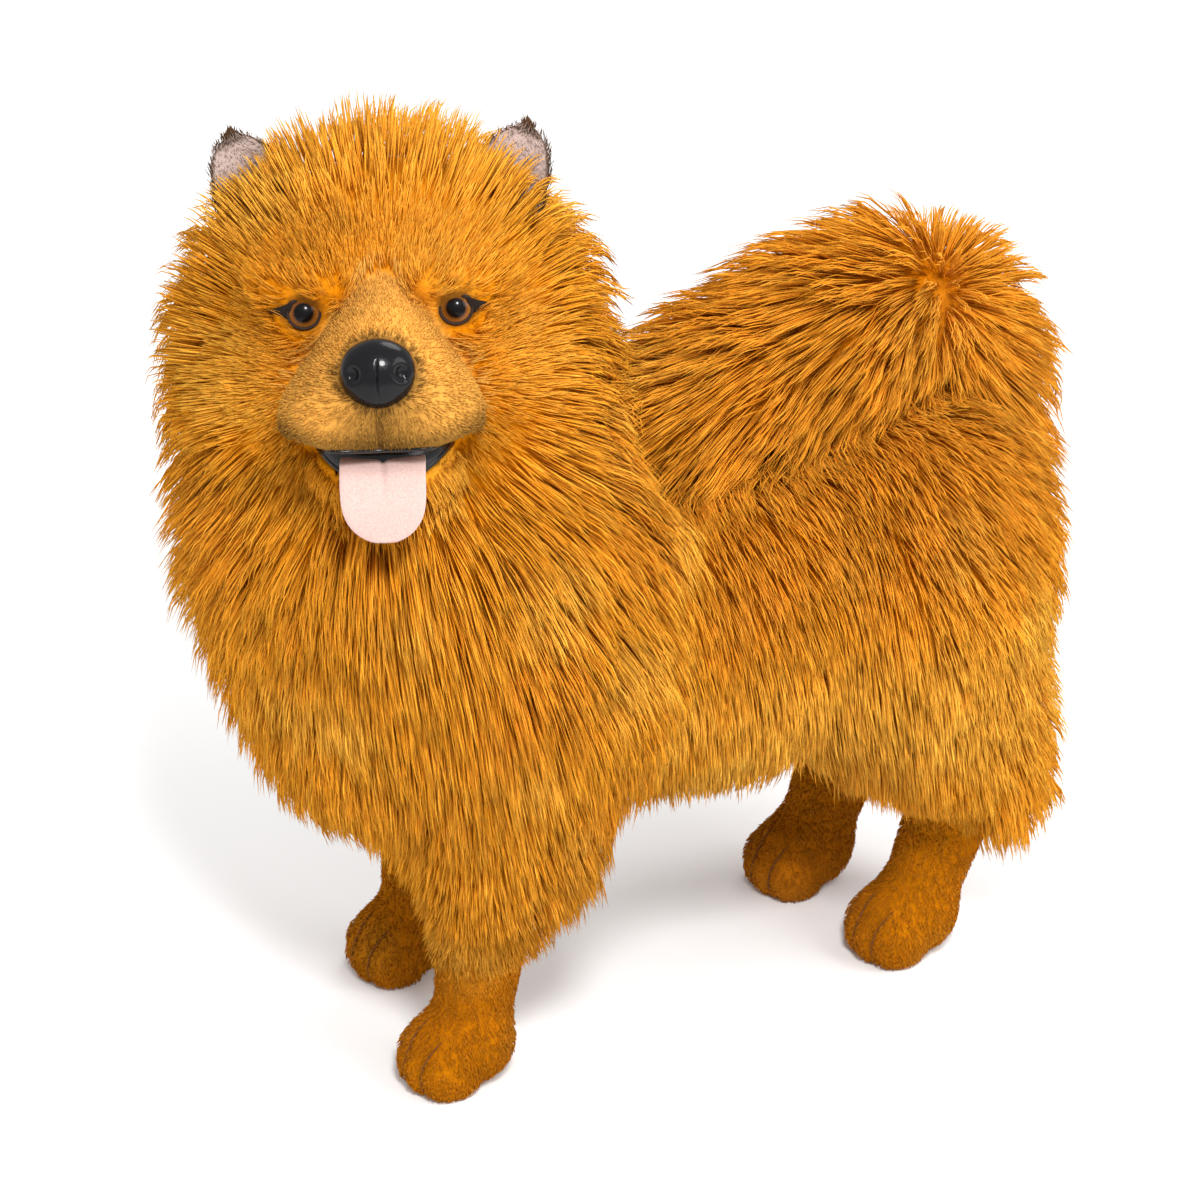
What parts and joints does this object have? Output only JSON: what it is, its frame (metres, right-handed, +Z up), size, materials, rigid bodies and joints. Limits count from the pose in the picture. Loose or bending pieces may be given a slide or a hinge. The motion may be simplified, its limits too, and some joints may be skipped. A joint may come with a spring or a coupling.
{
  "type": "plush toy chow chow",
  "caption": "Large realistic plush toy dog in the shape of a standing chow chow, head turned to its left, with a long-pile coat, curled tail and felt tongue",
  "frame": {"origin": "On the floor under the middle of the bounding box.", "axes": "The body faces -Y, its left side is +X and +Z is up. The head is turned about 65 degrees to its left."},
  "size_m": [0.2567, 0.4715, 0.4749],
  "materials": {
    "long_plush": "long-pile golden faux fur in combed locks",
    "short_plush": "short dense golden plush",
    "plastic": "glossy moulded black nose",
    "eye": "glossy moulded brown eye with a black pupil",
    "felt": "pale pink brushed felt",
    "lining": "black smooth lining of the mouth"
  },
  "bodies": {
    "root": {"head": "long_plush", "neck": "long_plush", "torso": "long_plush", "tail_base": "long_plush", "tail_bend": "long_plush", "tail_plume": "long_plush", "foreleg_left": "long_plush", "foreleg_right": "long_plush", "hindleg_left": "long_plush", "hindleg_right": "long_plush", "muzzle": "short_plush", "jaw": "short_plush", "ear_left": "short_plush", "ear_right": "short_plush", "forepaw_left": "short_plush", "forepaw_right": "short_plush", "hindpaw_left": "short_plush", "hindpaw_right": "short_plush", "nose": "plastic", "eye_left": "eye", "eye_right": "eye", "tongue": "felt", "mouth_lining": "lining"}
  },
  "joints": []
}
